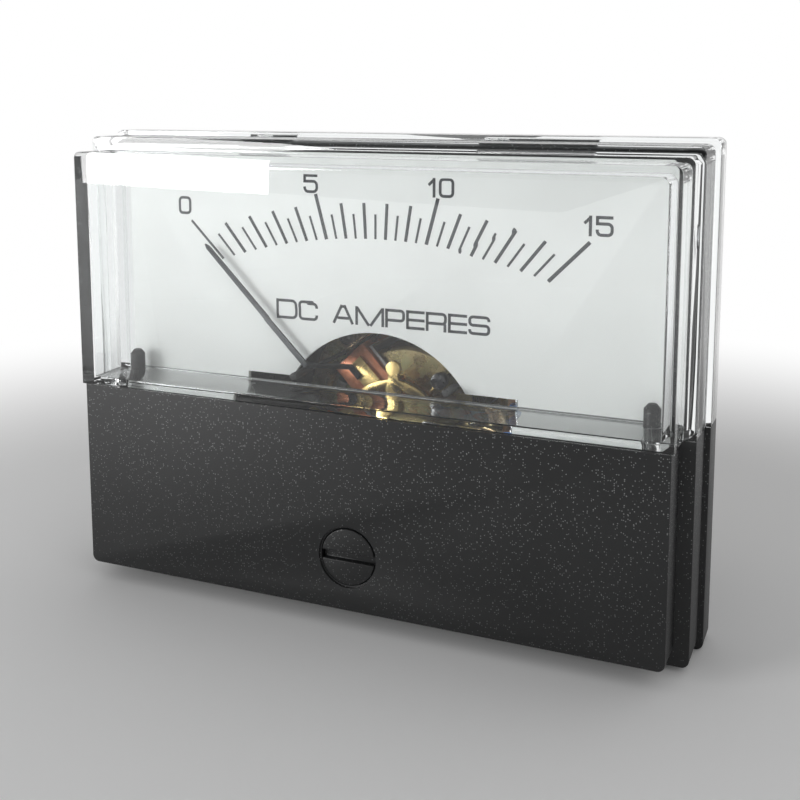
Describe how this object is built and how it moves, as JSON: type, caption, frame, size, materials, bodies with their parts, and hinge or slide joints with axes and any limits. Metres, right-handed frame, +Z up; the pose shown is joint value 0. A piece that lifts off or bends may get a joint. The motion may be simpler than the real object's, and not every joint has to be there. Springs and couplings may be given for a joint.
{
  "type": "analog panel meter",
  "caption": "Rectangular moving-coil panel meter: stepped clear window over a black mask, swept pointer on a printed scale, zero screw, round rear barrel with studs.",
  "frame": {"origin": "centre of the barrel in the plane of the flange's rear face, which seats on the panel", "axes": "+X to the right seen from the front, +Y rearwards through the panel, +Z up"},
  "size_m": [0.101, 0.0723, 0.0746],
  "materials": {
    "clear_styrene": "clear moulded styrene, glossy",
    "black_moulding": "fine spark-eroded texture, satin",
    "white_enamel": "matt white enamel on aluminium, printed scale",
    "zinc_plate": "bright zinc plate",
    "yellow_passivate": "zinc plate with yellow passivate, iridescent",
    "black_oxide": "black oxide, glossy",
    "magnet_alloy": "magnet alloy, ground and chromated to an olive tone",
    "die_cast": "plain aluminium",
    "brass": "turned and pressed brass",
    "spring_bronze": "phosphor bronze strip",
    "black_sleeve": "black insulating sleeve on wire",
    "phenolic": "paper phenolic board",
    "blue_lacquer": "blue lacquer",
    "tinned_wire": "tinned copper wire",
    "copper_alloy": "bare copper alloy and enamelled copper wire",
    "hard_steel": "hardened steel",
    "needle_paint": "dark grey paint on aluminium"
  },
  "bodies": {
    "case": {"window_cover": "clear_styrene", "lower_mask": "black_moulding", "base_housing": "black_moulding", "dial_plate": "white_enamel", "dial_screws": "zinc_plate", "yoke_ring": "yellow_passivate", "yoke_screws": "black_oxide", "core_magnet": "magnet_alloy", "core_spacers": "die_cast", "movement_plate": "yellow_passivate", "movement_screws": "zinc_plate", "bridge_pillars": "brass", "front_bridge": "brass", "bridge_screws": "zinc_plate", "front_jewel_screw": "brass", "rear_jewel_screw": "brass", "jewel_lock_nuts": "brass", "rear_hairspring": "spring_bronze", "rear_spring_tag": "brass", "pointer_stops": "black_sleeve", "tag_board": "phenolic", "tag_board_screw": "zinc_plate", "calibration_resistor": "blue_lacquer", "resistor_leads": "tinned_wire", "shunt_bar": "copper_alloy", "terminal_studs": "brass", "terminal_nuts": "brass", "terminal_washers": "zinc_plate", "fixing_studs": "zinc_plate"},
    "moving_coil": {"coil_former": "die_cast", "coil_winding": "copper_alloy", "pivot_shafts": "hard_steel", "balance_cross": "brass", "balance_weights": "black_oxide", "pointer": "needle_paint"},
    "zero_regulator": {"zero_lever": "brass", "front_hairspring": "spring_bronze"},
    "adjuster": {"zero_adjust_screw": "black_moulding"}
  },
  "joints": [
    {"name": "pointer_swing", "type": "hinge", "parent": "case", "child": "moving_coil", "pos_m": [0, 0, -0.01085], "axis": [0, 1, 0], "range_deg": [-3, 93], "stiffness_Nm_per_rad": 0.00002},
    {"name": "zero_adjust", "type": "hinge", "parent": "case", "child": "adjuster", "pos_m": [0, 0, -0.02585], "axis": [0, 1, 0], "range_deg": [-45, 45]},
    {"name": "zero_shift", "type": "hinge", "parent": "case", "child": "zero_regulator", "pos_m": [0, 0, -0.01085], "axis": [0, 1, 0], "range_deg": [-3.5, 3.5]}
  ],
  "couplings": [
    {"joint": "zero_shift", "follows": "zero_adjust", "ratio": 0.07407}
  ]
}
